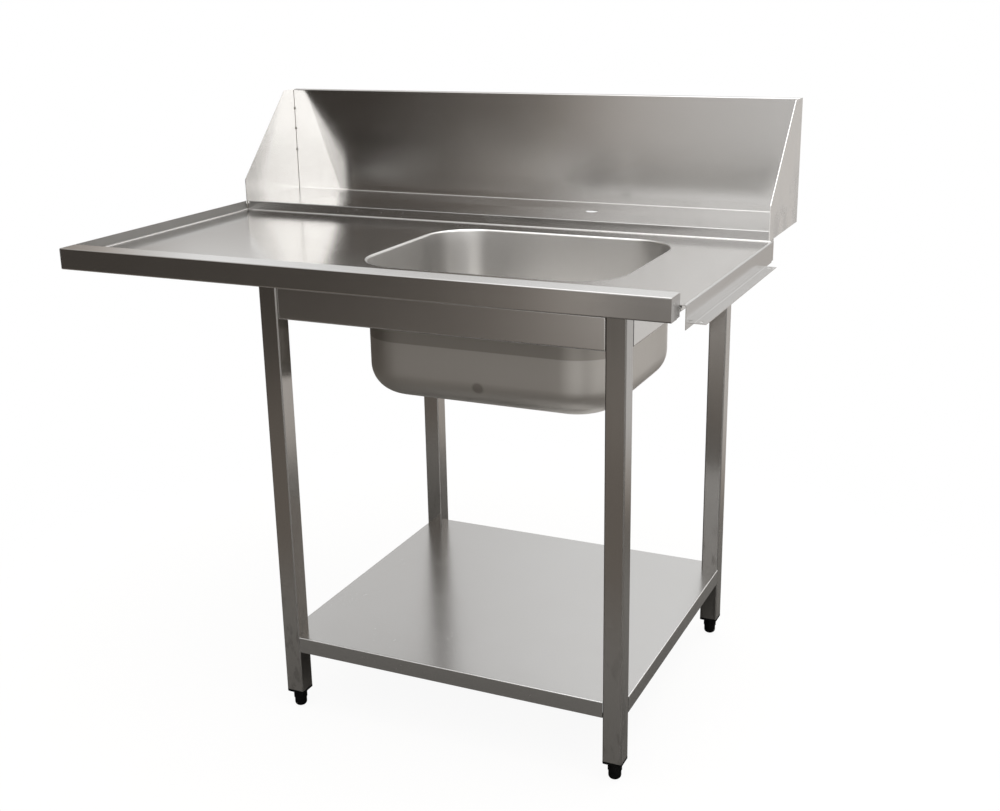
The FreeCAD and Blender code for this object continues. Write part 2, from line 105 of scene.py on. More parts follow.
class Wire:
    """One output socket. Python's operators on it add Math nodes and give their results."""

    def __init__(self, tree, socket):
        self.tree = tree
        self.socket = socket

    @staticmethod
    def node(tree, kind, settings=None, sockets=None, out=0):
        """Adds a node of any kind, sets it up, and gives one of its outputs."""
        made = tree.nodes.new(kind)
        for name, value in (settings or {}).items():
            if name == "stops":
                ramp = made.color_ramp.elements
                while len(ramp) < len(value):
                    ramp.new(0.5)
                for stop, (place, tone) in zip(ramp, value):
                    stop.position = place
                    stop.color = tone
            else:
                setattr(made, name, value)
        for name, value in (sockets or {}).items():
            if isinstance(value, Wire):
                tree.links.new(value.socket, made.inputs[name])
            else:
                made.inputs[name].default_value = value
        return Wire(tree, made.outputs[out])

    def maths(self, operation, *values):
        """One Math node of this and more values."""
        sockets = dict(enumerate((self,) + values))
        return Wire.node(self.tree, "ShaderNodeMath", {"operation": operation}, sockets)

    def __add__(self, other):
        return self.maths("ADD", other)

    __radd__ = __add__

    def __sub__(self, other):
        return self.maths("SUBTRACT", other)

    def __rsub__(self, other):
        sockets = {0: other, 1: self}
        return Wire.node(self.tree, "ShaderNodeMath", {"operation": "SUBTRACT"}, sockets)

    def __mul__(self, other):
        return self.maths("MULTIPLY", other)

    __rmul__ = __mul__

    def step(self, low, high):
        """0 below low, 1 above high, and a smooth climb between them."""
        settings = {"interpolation_type": "SMOOTHSTEP"}
        sockets = {"Value": self, "From Min": low, "From Max": high}
        return Wire.node(self.tree, "ShaderNodeMapRange", settings, sockets)

    def drop(self, low, high):
        """1 below low, 0 above high, and a smooth fall between them."""
        return 1 - self.step(low, high)

    def blend(self, low, high):
        """A colour that is low where this is 0 and high where it is 1."""
        sockets = {0: self, 6: low, 7: high}
        return Wire.node(self.tree, "ShaderNodeMix", {"data_type": "RGBA"}, sockets, 2)


print("besides +, - and *, a wire has", [name for name in vars(Wire) if "_" not in name])

# %% Three small helpers


def parts_of(tree, place):
    """The three coordinates of a place or a direction."""
    first = Wire.node(tree, "ShaderNodeSeparateXYZ", sockets={0: place})
    second, third = (Wire(tree, first.socket.node.outputs[number]) for number in (1, 2))
    return first, second, third


def noise(at, scale, detail=2.0, rough=0.5):
    """Cloudy noise from 0 to 1, read at a place. A larger scale makes smaller clouds."""
    sockets = {"Vector": at, "Scale": scale, "Detail": detail, "Roughness": rough}
    return Wire.node(at.tree, "ShaderNodeTexNoise", None, sockets)


def grey(level, warmth=0.0):
    """A grey of one level, with a little more red and less blue where warmth is above 0."""
    return (level * (1 + warmth), level, level * (1 - 1.4 * warmth), 1.0)


print("a slightly warm grey is", grey(0.5, 0.02))

# %% [markdown]
# ## The studio
#
# Polished steel has hardly a colour of its own: it shows the room. In the photograph the
# worktop mirrors white paper behind the table, and the upright faces mirror a room in front
# of it, dark on the left and bright on the right, over a grey floor. An image of a real
# studio could light the table, but a few numbers show what each mirror image is made of. So
# the world is that room, as a strength for each direction. The three parts of a direction
# run from -1 to 1: across from left to right, behind from front to back, and above from
# floor to ceiling. The camera alone sees plain white paper all round.

# %% Write the room down
BRIGHTEST, WHITE_PAPER, GREY_FLOOR = 3.2, 1.0, 0.15
FRONT_WALL = [
    (-0.62, 0.05), (-0.49, 0.058), (-0.4, 0.12), (-0.365, 0.22),
    (-0.34, 0.5), (-0.22, 0.72), (0.05, 0.9), (0.4, 2.4),
]
PAPER_LOW = [
    (-0.9, 0.1), (-0.55, 0.18), (-0.4, 0.5), (-0.2, 1.0), (0.0, 1.6), (0.12, 0.8),
    (0.2, 0.4), (0.25, 0.5), (0.32, 0.9), (0.42, 0.35), (0.9, 1.1),
]
PAPER_HIGH = [
    (-0.66, 0.3), (-0.6, 1.0), (-0.45, 0.75), (-0.33, 0.95),
    (-0.2, 1.0), (0.2, 1.2), (0.32, 1.0), (0.42, 0.22),
]
LOW_WALL_MOST = 0.62
WINDOW_ON_THE_LEFT, WINDOW_LOSS = 2.8, 2.3
FAR_RIGHT_LOSS = 0.8
CEILING_ON_THE_LEFT, CEILING_GAIN = 0.62, 1.6
WARM_SHADE, WHITE = (1.14, 1.0, 0.87, 1.0), (1.0, 1.0, 1.0, 1.0)
print("the front wall goes from", FRONT_WALL[0][1], "to", FRONT_WALL[-1][1])

# %% Build the room
world = bpy.data.worlds.new("studio")
bpy.context.scene.world = world
world.use_nodes = True
sky = world.node_tree
sky.nodes.clear()
across, behind, above = parts_of(sky, Wire.node(sky, "ShaderNodeTexCoord"))


def strengths(pairs):
    """A strength for each direction from left to right: straight lines between the pairs."""
    stops = [((x + 1) / 2, (level / BRIGHTEST,) * 3 + (1.0,)) for x, level in pairs]
    ramp = Wire.node(sky, "ShaderNodeValToRGB", {"stops": stops}, {0: across * 0.5 + 0.5})
    return ramp * BRIGHTEST


# The front wall's bright right end doesn't reach down to the floor.
wall = strengths(FRONT_WALL)
low_wall = wall.maths("MINIMUM", LOW_WALL_MOST)
lit_wall = low_wall + (wall - low_wall) * above.step(-0.2, -0.145)
# The window is a band above the horizon, and is strongest on the left.
window_band = above.step(0.12, 0.17) * above.drop(0.22, 0.36)
window = window_band * (WINDOW_ON_THE_LEFT - WINDOW_LOSS * across.step(-0.6, 0.12))
# At the far right the wall ends, and the room is dim above the horizon.
far_right = across.step(0.54, 0.66) * above.step(0.05, 0.15)
front = lit_wall * (1 + window) * (1 - far_right * FAR_RIGHT_LOSS)
# The paper behind the table is lit in another way low down than high up.
is_high = above.step(0.15, 0.2)
back = strengths(PAPER_LOW) * (1 - is_high) + strengths(PAPER_HIGH) * is_high
print("the walls have", len(sky.nodes), "nodes")

# %% Join the walls, the floor and the ceiling
is_back = behind.step(-0.25, 0.3)
around = back * is_back + front * (1 - is_back)
over_floor = above.step(-0.4, -0.3) * is_back + above.step(-0.31, -0.24) * (1 - is_back)
is_ceiling = above.step(0.45, 0.8)
ceiling = across.step(-0.75, 0.05) * CEILING_GAIN + CEILING_ON_THE_LEFT
below_ceiling = around * over_floor * (1 - is_ceiling)
room = below_ceiling + (1 - over_floor) * GREY_FLOOR + is_ceiling * ceiling
is_camera = Wire.node(sky, "ShaderNodeLightPath")
strength = room * (1 - is_camera) + is_camera * WHITE_PAPER
tint = strength.step(0.1, 0.9).blend(WARM_SHADE, WHITE)
light = Wire.node(sky, "ShaderNodeBackground", sockets={"Color": tint, "Strength": strength})
sky.links.new(light.socket, sky.nodes.new("ShaderNodeOutputWorld").inputs[0])
print("the room has", len(sky.nodes), "nodes")

# %% Hang a lamp


def soft_box(name, place, aim, size, power):
    """A square lamp that faces a point."""
    lamp = bpy.data.lights.new(name, "AREA")
    lamp.size = size
    lamp.energy = power
    holder = bpy.data.objects.new(name, lamp)
    bpy.context.scene.collection.objects.link(holder)
    holder.location = place
    holder.rotation_euler = (Vector(aim) - Vector(place)).to_track_quat("-Z", "Y").to_euler()
    return holder


LAMP_PLACE, LAMP_AIM = (0.3, 0.2, 3.2), (0.0, 0.0, 0.5)
overhead = soft_box("overhead lamp", LAMP_PLACE, LAMP_AIM, size=2.4, power=20)
print("the lamp hangs at", round(overhead.location.z, 2), "m")

# %% [markdown]
# ## Surfaces from arrays
#
# The new pieces are pressed, folded or welded sheet. They could be modelled by hand, but a
# shape that is a formula follows the measured solids exactly. Most of them are grids: one
# direction runs along a path, the other round a profile. The helpers turn a grid of points
# into faces, and close it where the ends meet.

# %% Turn a grid of points into a piece


def grid_faces(rows, columns, closed_rows, closed_columns):
    """Four corners for each cell of a grid: (i, j), (i, j+1), (i+1, j+1), (i+1, j)."""
    i = np.arange(rows if closed_rows else rows - 1)[:, None]
    j = np.arange(columns if closed_columns else columns - 1)[None, :]
    below, beside = (i + 1) % rows, (j + 1) % columns
    first, second = i * columns + j, i * columns + beside
    third, fourth = below * columns + beside, below * columns + j
    return np.stack([first, second, third, fourth], axis=-1).reshape(-1, 4)


def piece_from(name, points, faces, body, sharp_degrees=40.0):
    """A smooth mesh from arrays, riding on a body, with edges kept sharp past an angle."""
    mesh = bpy.data.meshes.new(name)
    corners = np.asarray(points, float).reshape(-1, 3)
    mesh.from_pydata(corners.tolist(), [], list(map(tuple, faces)))
    mesh.validate()
    mesh.shade_smooth()
    mesh.set_sharp_from_angle(angle=math.radians(sharp_degrees))
    piece = bpy.data.objects.new(name, mesh)
    bpy.context.scene.collection.objects.link(piece)
    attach(piece, body)
    return piece


def facing_out(piece):
    """Turns a closed mesh's faces outwards."""
    work = bmesh.new()
    work.from_mesh(piece.data)
    bmesh.ops.recalc_face_normals(work, faces=work.faces)
    work.to_mesh(piece.data)
    work.free()
    return piece


print("a tube of 3 rings of 8 points has", len(grid_faces(3, 8, False, True)), "faces")

# %% Profiles, and what is carried along them


def arc(centre, radius, start, end, count):
    """Points on a circle about a centre, from one angle in degrees to another."""
    turn = np.radians(np.linspace(start, end, count))
    return np.stack([centre[0] + radius * np.cos(turn), centre[1] + radius * np.sin(turn)], axis=1)


def rectangle(low, high):
    """The four corners of a rectangle, from its lowest and its highest corner."""
    return [(low[0], low[1]), (high[0], low[1]), (high[0], high[1]), (low[0], high[1])]


def wire_ring(centre, radius):
    """A round profile of 12 points, one every 30 degrees."""
    return arc(centre, radius, 0, 330, 12)


def carried(name, profile, along, start, end, sharp_degrees=40.0):
    """A closed profile of two coordinates, carried straight along the axis named by along,
    from start to end, with its ends closed by one face each. It rides on the table."""
    profile = np.asarray(profile, float)
    count = len(profile)
    flat = np.broadcast_to(profile[None], (2, count, 2))
    line = np.broadcast_to(np.array([start, end])[:, None], (2, count))[..., None]
    order = {"x": (2, 0, 1), "y": (0, 2, 1), "z": (0, 1, 2)}[along]
    points = np.concatenate([flat, line], axis=-1)[..., order]
    sides = grid_faces(2, count, False, True).tolist()
    caps = [list(range(count)), list(range(2 * count - 1, count - 1, -1))]
    return facing_out(piece_from(name, points, sides + caps, "table", sharp_degrees))


def ball(name, place, radii, across=12, around=20):
    """A ball squashed to three radii: rings of latitude, each turned round by longitude, with
    a small face at each pole. It rides on the table."""
    polar = np.linspace(0.02, np.pi - 0.02, across)[:, None]
    turn = np.linspace(0, 2 * np.pi, around, endpoint=False)[None, :]
    flat = [np.sin(polar) * np.cos(turn), np.sin(polar) * np.sin(turn)]
    unit = np.stack(flat + [np.cos(polar) + 0 * turn], axis=-1)
    points = unit * np.asarray(radii) + np.asarray(place)
    faces = grid_faces(across, around, False, True).tolist()
    caps = [list(range(around)), list(range(across * around - 1, (across - 1) * around - 1, -1))]
    return facing_out(piece_from(name, points, faces + caps, "table", 60.0))


print("a ring's first point is", wire_ring((0.0, 0.0), 1.0)[0].tolist())

# %% [markdown]
# ## The floor
#
# The table stands on a round sheet of white paper. A plain white plane would show a horizon,
# so this one fades out at its edge. It is brighter to the camera than its lamps make it,
# which leaves only a soft shadow under the table.

# %% Lay the floor
FLOOR_RADIUS, FLOOR_RINGS, FLOOR_SPOKES, FLOOR_LEVEL = 1.35, 12, 72, -0.0005
radius = np.linspace(0.0, FLOOR_RADIUS, FLOOR_RINGS)[:, None]
angle = np.linspace(0, 2 * np.pi, FLOOR_SPOKES, endpoint=False)[None, :]
flat = [radius * np.cos(angle), radius * np.sin(angle)]
floor_points = np.stack(flat + [radius * angle * 0 + FLOOR_LEVEL], axis=-1).reshape(-1, 3)
floor_faces = grid_faces(FLOOR_RINGS, FLOOR_SPOKES, False, True)
floor_mesh = bpy.data.meshes.new("floor")
floor_mesh.from_pydata(floor_points.tolist(), [], floor_faces.tolist())
floor = bpy.data.objects.new("floor", floor_mesh)
bpy.context.scene.collection.objects.link(floor)
print("the floor is", 2 * FLOOR_RADIUS, "m across")

# %% Cover the floor with paper
PAPER_SHADE, PAPER_GLOW, GLOW_SHARE = grey(0.15, 0.04), 1.5, 0.62
FADE_START, FADE_END = FLOOR_RADIUS * 0.6, FLOOR_RADIUS * 0.98

floor_paint = bpy.data.materials.new("white paper")
floor_paint.use_nodes = True
tree = floor_paint.node_tree
tree.nodes.clear()
place = Wire.node(tree, "ShaderNodeTexCoord", out=3)
distance = Wire.node(tree, "ShaderNodeVectorMath", {"operation": "LENGTH"}, {0: place}, 1)
matt = Wire.node(tree, "ShaderNodeBsdfDiffuse", sockets={"Color": PAPER_SHADE})
glow_sockets = {"Color": grey(1.0), "Strength": PAPER_GLOW}
glow = Wire.node(tree, "ShaderNodeEmission", sockets=glow_sockets)
clear = Wire.node(tree, "ShaderNodeBsdfTransparent")
glowing = Wire.node(tree, "ShaderNodeLightPath") * GLOW_SHARE
lifted = Wire.node(tree, "ShaderNodeMixShader", sockets={0: glowing, 1: matt, 2: glow})
fading = distance.step(FADE_START, FADE_END)
shown = Wire.node(tree, "ShaderNodeMixShader", sockets={0: fading, 1: lifted, 2: clear})
tree.links.new(shown.socket, tree.nodes.new("ShaderNodeOutputMaterial").inputs[0])
floor.data.materials.append(floor_paint)
print("the paper has", len(tree.nodes), "nodes")

# %% [markdown]
# ## Brushed steel
#
# Stainless sheet is brushed in one direction. The scratches could be drawn one by one, but
# they are finer than a pixel, so what they do is spread the mirror image across the grain. A
# noise that is stretched along the grain gives them to the Bump node. Wider streaks, finger
# marks and cloudy patches change how blurred the mirror is, and a slow wave bends it as thin
# sheet does.

# %% Mix the steel
STRETCH = 260.0
GRAIN_STRETCH = {
    "x": (1.0, STRETCH, STRETCH),
    "y": (STRETCH, 1.0, STRETCH),
    "z": (STRETCH, STRETCH, 1.0),
}
SCRATCH_SCALE, STREAK_SCALE = 3.0, 0.55
CLOUD_SCALE, WIPE_SCALE, SPECK_SCALE, WAVE_SCALE = 7.0, 22.0, 420.0, 2.6
SCRATCH_HEIGHT, WAVE_HEIGHT = 0.00002, 0.0012
HANDLED_BLUR, STREAK_BLUR, SPECK_BLUR, USUAL_BLUR = 0.03, 0.03, 0.05, 0.02
LIGHTEST, DULLEST, DARKEST_MARK = 1.03, 0.95, 0.4


def new_paint(name):
    """A new material, its tree, its shader and the place on the object that it reads."""
    paint = bpy.data.materials.new(name)
    paint.use_nodes = True
    tree = paint.node_tree
    return paint, tree, tree.nodes["Principled BSDF"], Wire.node(tree, "ShaderNodeTexCoord", out=3)


def plug_in(tree, shader, colour, roughness, height):
    """Leads a colour, a roughness and a height in metres into a shader."""
    sockets = {"Strength": 1.0, "Distance": 1.0, "Height": height}
    bump = Wire.node(tree, "ShaderNodeBump", None, sockets)
    for name, wire in {"Base Color": colour, "Roughness": roughness, "Normal": bump}.items():
        tree.links.new(wire.socket, shader.inputs[name])


def steel(name, grain="x", tone=0.60, warmth=0.012, blur=0.17, brush=0.10, wave=0.35,
          smudge=0.5, across_grain=0.0, marks=None):
    """Brushed stainless steel with its grain along one axis.

    The blur is the roughness of clean metal. Brush, wave and smudge are the strengths of the
    scratches, of the sheet's slow wave and of the finger marks. Marks gives the worn places,
    and also painted shade and a painted highlight.
    The roughness is the blur, less what the noises usually add, plus a share of each noise.
    """
    paint, tree, shader, place = new_paint(name)
    stretched = Wire.node(tree, "ShaderNodeMapping", sockets={0: place, 3: GRAIN_STRETCH[grain]})
    scratches = noise(stretched, SCRATCH_SCALE)
    streaks = noise(stretched, STREAK_SCALE)
    cloudy = noise(place, CLOUD_SCALE, 4.0, 0.6).step(0.35, 0.7)
    wipes = noise(place, WIPE_SCALE, 3.0, 0.65).step(0.55, 0.75)
    slow = noise(place, WAVE_SCALE, 1.0)
    specks = noise(place, SPECK_SCALE, 0.0).step(0.76, 0.82)
    handled = (cloudy + wipes) * (HANDLED_BLUR * smudge)
    spotted = streaks * STREAK_BLUR + specks * SPECK_BLUR
    roughness = handled + spotted + (blur - USUAL_BLUR)
    dull = (cloudy * 0.35 + streaks * 0.4 + wipes * 0.25) * smudge
    colour = dull.blend(grey(tone * LIGHTEST, warmth), grey(tone * DULLEST, warmth * 1.6))
    height = scratches * (SCRATCH_HEIGHT * brush) + slow * (WAVE_HEIGHT * wave)
    if marks is not None:
        darker, rougher, raised = marks(tree, place)
        colour = darker.blend(colour, grey(tone * DARKEST_MARK, warmth * 2))
        roughness = roughness + rougher
        height = height + raised
    plug_in(tree, shader, colour, roughness, height)
    shader.inputs["Metallic"].default_value = 1.0
    shader.inputs["Anisotropic"].default_value = across_grain
    shader.inputs["Anisotropic Rotation"].default_value = 0.25
    return paint


print("the scratches are", STRETCH, "times as long as wide")

# %% [markdown]
# ## Moulded plastic
#
# The plugs and feet are black plastic, and the waste has a white nut and a rubber seal. One
# even colour would look like paint. A fine grain in the bump and a few rubbed patches make
# them moulded pieces that have been handled.

# %% Mix the plastic
PLASTIC_GRAIN_SCALE, RUBBED_SCALE = 900.0, 60.0
PLASTIC_GRAIN_HEIGHT, RUBBED_BLUR = 0.00006, 0.12


def plastic(name, tone, blur, bumps, gloss=0.5):
    """Moulded plastic with a fine grain and a few rubbed, duller patches."""
    paint, tree, shader, place = new_paint(name)
    fine = noise(place, PLASTIC_GRAIN_SCALE)
    rubbed = noise(place, RUBBED_SCALE, 3.0).step(0.45, 0.7)
    colour = rubbed.blend(grey(tone), grey(tone * 1.5 + 0.001))
    height = fine * (PLASTIC_GRAIN_HEIGHT * bumps)
    plug_in(tree, shader, colour, rubbed * RUBBED_BLUR + blur, height)
    shader.inputs["Specular IOR Level"].default_value = gloss
    return paint


BLACK_PLASTIC = plastic("black plastic", tone=0.002, blur=0.55, bumps=1.0, gloss=0.08)
WHITE_PLASTIC = plastic("nut plastic", tone=0.62, blur=0.5, bumps=0.6)
SEAL_RUBBER = plastic("seal rubber", tone=0.03, blur=0.7, bumps=1.5)
print("mixed", [paint.name for paint in (BLACK_PLASTIC, WHITE_PLASTIC, SEAL_RUBBER)])

# %% [markdown]
# ## Where the steel is worn, and where shade is painted
#
# No sheet is even: welding, grinding and handling leave patches that are darker or more
# blurred than the rest. Many patches here are not wear but painted shade, and one is a
# painted highlight. They could be painted into an image, but masks stay sharp at any distance
# and need no unwrapping. Each patch is a product of smooth steps and drops over the place in
# metres, 1 inside and 0 outside. A function of marks gives three sums of patches: how much
# darker the steel is, how much rougher, and how far it is raised.

# %% Find the faces of the sheets
WORKTOP_LOW, WORKTOP_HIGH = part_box("worktop")
LEFT_END, FRONT_EDGE, DOCK_EDGE = WORKTOP_LOW[0], WORKTOP_LOW[1], WORKTOP_HIGH[0]
DECK_TOP, RIM_TOP, RIM_DEPTH = 0.85, 0.87, 0.045
LEDGE_LOW, LEDGE_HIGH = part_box("splashback")
STEP_FACE, WALL_DEPTH = LEDGE_LOW[1], 0.018
WALL_FACE = LEDGE_HIGH[1] - WALL_DEPTH
BOWL_LOW, BOWL_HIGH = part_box("sink_bowl")
BOWL_SHEET, MOUTH_RADIUS = 0.001, 0.008
BOWL_FRONT = BOWL_LOW[1] + MOUTH_RADIUS - BOWL_SHEET
BOWL_LEFT, BOWL_RIGHT = BOWL_LOW[0] + MOUTH_RADIUS, BOWL_HIGH[0] - MOUTH_RADIUS
print("from the front rim to the wall it is", round(WALL_FACE - FRONT_EDGE - RIM_DEPTH, 3), "m")

# %% Mark the worktop and the splashback
LEAN = 0.06


def worktop_marks(tree, place):
    """The rim's top leans a little to the front, so that water runs off. The upright at the left
    end is darker and rougher. The rest is painted shade: the right end of the rim's front and
    the docking flange's face are a little darker, and so is the front fold but at its right end,
    which dims its highlight."""
    x, y, z = parts_of(tree, place)
    lean = (y - (FRONT_EDGE + RIM_DEPTH)).maths("MINIMUM", 0.0) * LEAN
    on_upright = x.drop(LEFT_END + 0.0015, LEFT_END + 0.003)
    upright = on_upright * z.step(DECK_TOP + 0.001, DECK_TOP + 0.003)
    near_front = y.drop(FRONT_EDGE + 0.0015, FRONT_EDGE + 0.003)
    fold = near_front * z.step(RIM_TOP - 0.004, RIM_TOP - 0.002) * x.drop(0.4, 0.52)
    front = y.drop(FRONT_EDGE + 0.0008, FRONT_EDGE + 0.0016) * x.step(0.38, 0.56)
    past_deck = x.step(DOCK_EDGE + 0.001, DOCK_EDGE + 0.002)
    dock = past_deck * x.drop(DOCK_EDGE + 0.0035, DOCK_EDGE + 0.0045)
    # fold, front and dock are painted shade
    darker = upright * 0.9 + fold * 0.2 + front * 0.8 + dock * 0.3
    return darker, upright * 0.35, lean


def splash_marks(tree, place):
    """Painted shade, in three places: the step up to the ledge is darker and a little rougher,
    less so towards its right end; low down, the left half of the wall is darker; and so is a
    slanting patch beside the left panel, which fades out to the right near the top."""
    x, y, z = parts_of(tree, place)
    on_step = y.drop(STEP_FACE + 0.0018, STEP_FACE + 0.004)
    step = on_step * (1 - 0.35 * x.step(0.1, 0.5))
    on_wall = z.step(0.872, 0.876) * y.drop(WALL_FACE + 0.0003, WALL_FACE + 0.0008)
    low = on_wall * z.drop(0.94, 1.02) * x.step(-0.5, -0.42) * x.drop(-0.28, -0.04)
    fading_top = z.step(0.95, 1.0) * x.drop(-0.46, -0.1)
    right_end = x.step(-0.468, -0.458) * (1 - fading_top)
    patch = on_wall * (x + z * 0.35).step(-0.194, -0.186) * (1 - right_end)
    # all three patches are painted shade
    return step * 0.75 + low * 0.45 + patch * 0.4, step * 0.05, 0.0


print("the rim's top leans by", round(RIM_DEPTH * LEAN * 1000, 1), "mm")

# %% Mark the bowl
SHADOW_BAND_LEVEL = 0.7115
SMUDGE_PLACE, SMUDGE_START, SMUDGE_END = (0.181, -0.275, 0.642), 0.005, 0.014
HIGHLIGHT_LOW, HIGHLIGHT_HIGH = 0.612, 0.645


def bowl_marks(tree, place):
    """Outside, the steel is darker everywhere, the front more than the sides, but for a painted
    highlight on the bottom's lower right edge, where the darkening nearly goes. A round smudge is
    darker, and a painted shadow lies as a dark band under the front rail."""
    x, y, z = parts_of(tree, place)
    sockets = {0: place, 1: SMUDGE_PLACE}
    far = Wire.node(tree, "ShaderNodeVectorMath", {"operation": "DISTANCE"}, sockets, 1)
    smudge = far.drop(SMUDGE_START, SMUDGE_END)
    # a painted shadow: a dark band under the front rail, above this level
    above_shadow_edge = z.step(SHADOW_BAND_LEVEL - 0.0015, SHADOW_BAND_LEVEL + 0.0015)
    band = above_shadow_edge * y.drop(BOWL_FRONT + 0.03, BOWL_FRONT + 0.06)
    front = y.drop(BOWL_FRONT + 0.05, BOWL_FRONT + 0.1)
    # a painted highlight: on the lower right edge of the bottom the darkening nearly goes
    edge = z.drop(HIGHLIGHT_LOW, HIGHLIGHT_HIGH)
    painted_highlight = edge * x.step(0.24, 0.35) * (1 - x.step(0.385, 0.44) * 0.5)
    dull = (front * 0.5 + 0.18) * (1 - painted_highlight * 0.95)
    return smudge * 0.5 + band * 0.55 + dull, 0.0, 0.0


def bowl_inside_marks(tree, place):
    """The inside is darker at its left wall, and a little darker at its right end."""
    x = parts_of(tree, place)[0]
    left = x.drop(BOWL_LEFT + 0.003, BOWL_LEFT + 0.022)
    right = x.step(BOWL_RIGHT - 0.11, BOWL_RIGHT - 0.04)
    return left * 0.35 + right * 0.25, 0.0, 0.0


# the band is a painted shadow under the front rail
print("the painted shadow band starts", round((BOWL_HIGH[2] - SHADOW_BAND_LEVEL) * 1000), "mm below the deck")

# %% Mark the legs and the side panels
FRONT_LEFT_LEG, REAR_RIGHT_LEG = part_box("leg_front_left"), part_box("leg_rear_right")
FIRST_LEG, LAST_LEG = [(low + high) / 2 for low, high in (FRONT_LEFT_LEG, REAR_RIGHT_LEG)]
LEG_MIDDLE, LEG_SPREAD = (FIRST_LEG + LAST_LEG) / 2, (LAST_LEG - FIRST_LEG) / 2
LEG_FRONT, REAR_LEG_FRONT = FRONT_LEFT_LEG[0][1], REAR_RIGHT_LEG[0][1]
LEG_RIGHT = REAR_RIGHT_LEG[1][0]
RIGHT_LEGS, REAR_LEGS, FRONT_LEGS = (0.3, 0.35), (0.1, 0.15), (-0.3, -0.2)
ROUND_START, ROUND_END = 0.0151, 0.0156
SCUFF_SCALE, SCUFF_STRETCH = 48.0, (1.0, 1.0, 0.4)
PANEL_FOOT, GRINDING_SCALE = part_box("right_side_panel")[0][2], 15.0


def leg_marks(tree, place):
    """Low down the legs are scuffed: a few dull, darker patches that are long in the grain. The
    rest is painted shade. The tube's rounded corners are darker and rougher, which dims their
    highlight. A place is on one of them where it is far from its own leg's middle both across
    and along. The front right leg's front is darker at its top, under the front rim, and so
    are its side and the rear right leg's front, a little."""
    x, y, z = parts_of(tree, place)
    off_x = ((x - LEG_MIDDLE[0]).maths("ABSOLUTE") - LEG_SPREAD[0]).maths("ABSOLUTE")
    off_y = ((y - LEG_MIDDLE[1]).maths("ABSOLUTE") - LEG_SPREAD[1]).maths("ABSOLUTE")
    corner = off_x.maths("MINIMUM", off_y).step(ROUND_START, ROUND_END)
    long = Wire.node(tree, "ShaderNodeMapping", sockets={0: place, 3: SCUFF_STRETCH})
    scuffed = noise(long, SCUFF_SCALE, 3.0).step(0.52, 0.62) * z.drop(0.14, 0.3)
    right = x.step(*RIGHT_LEGS)
    top = z.step(0.6, 0.84) * right * y.drop(LEG_FRONT + 0.001, LEG_FRONT + 0.003)
    on_rear_front = y.drop(REAR_LEG_FRONT + 0.001, REAR_LEG_FRONT + 0.003)
    rear = right * y.step(*REAR_LEGS) * on_rear_front
    on_side = x.step(LEG_RIGHT - 0.003, LEG_RIGHT - 0.001)
    side = on_side * y.drop(*FRONT_LEGS) * z.step(0.3, 0.5)
    # the corner, top, rear and side patches are painted shade; only the scuffs are wear
    darker = scuffed * 0.4 + corner * 0.9 + top * 0.95 + rear * 0.5 + side * 0.3
    return darker, scuffed * 0.1 + corner * 0.25, 0.0


def panel_marks(tree, place):
    """The right panel was ground by hand, which left clouds along its foot and at its rear.
    The left one is a little duller along its front edge."""
    x, y, z = parts_of(tree, place)
    is_right = x.step(0.0, 0.1)
    foot = z.drop(PANEL_FOOT + 0.02, PANEL_FOOT + 0.13)
    ground = (foot + y.step(0.3, 0.42) * 0.5).maths("MINIMUM", 1.0) * is_right
    cloudy = noise(place, GRINDING_SCALE, 3.0).step(0.4, 0.62) * ground
    front = y.drop(0.2, 0.27) * (1 - is_right)
    return cloudy * 0.35 + front * 0.22, cloudy * 0.1, 0.0


print("the legs stand", [round(2 * value, 3) for value in LEG_SPREAD[:2]], "m apart")

# %% [markdown]
# ## A finish for each solid
#
# The pieces of a real table come from different rolls of sheet and tube, so no two of them
# mirror alike. One steel for all would be simple, but would make a toy of it. Each kind of
# piece gets a steel of its own, with its grain along the piece. A word in a node's name says
# which kind it is.

# %% Mix the steels
DECK_STEEL = steel("worktop steel", "x", tone=0.655, blur=0.16, wave=0.15, marks=worktop_marks)
SPLASH_STEEL = steel("splashback steel", "x", tone=0.60, blur=0.17, brush=0.3, wave=0.1,
                     across_grain=0.8, marks=splash_marks)
PANEL_STEEL = steel("side panel steel", "y", tone=0.765, blur=0.2, wave=0.1, smudge=0.9,
                    marks=panel_marks)
SHELF_STEEL = steel("shelf steel", "x", tone=0.54, blur=0.22, wave=0.2)
LEG_STEEL = steel("leg steel", "z", tone=0.54, warmth=0.02, blur=0.15, wave=0.05,
                  marks=leg_marks)
RAIL_STEEL = steel("rail steel", "x", tone=0.62, blur=0.18, wave=0.1)
SIDE_RAIL_STEEL = steel("side rail steel", "y", tone=0.72, blur=0.18, wave=0.1)
BOWL_STEEL = steel("bowl steel inside", "z", tone=0.71, warmth=0.014, blur=0.34, brush=0.05,
                   wave=0.1, marks=bowl_inside_marks)
BOWL_BACK_STEEL = steel("bowl steel outside", "z", tone=0.76, warmth=0.03, blur=0.5,
                        brush=0.05, wave=0.1, marks=bowl_marks)
HIDDEN_STEEL = steel("stiffener steel", "x", tone=0.55, blur=0.3, wave=0.1)
WASTE_STEEL = steel("polished waste", "z", tone=0.72, warmth=0.0, blur=0.1, brush=0.0,
                    wave=0.0, smudge=0.3)
STEM_STEEL = steel("zinc plated stem", "z", tone=0.6, warmth=0.01, blur=0.3, brush=0.0,
                   wave=0.0)
CAP_STEEL = steel("end cap steel", "y", tone=0.46, blur=0.25, wave=0.1)
print("the worktop's steel has", len(DECK_STEEL.node_tree.nodes), "nodes")

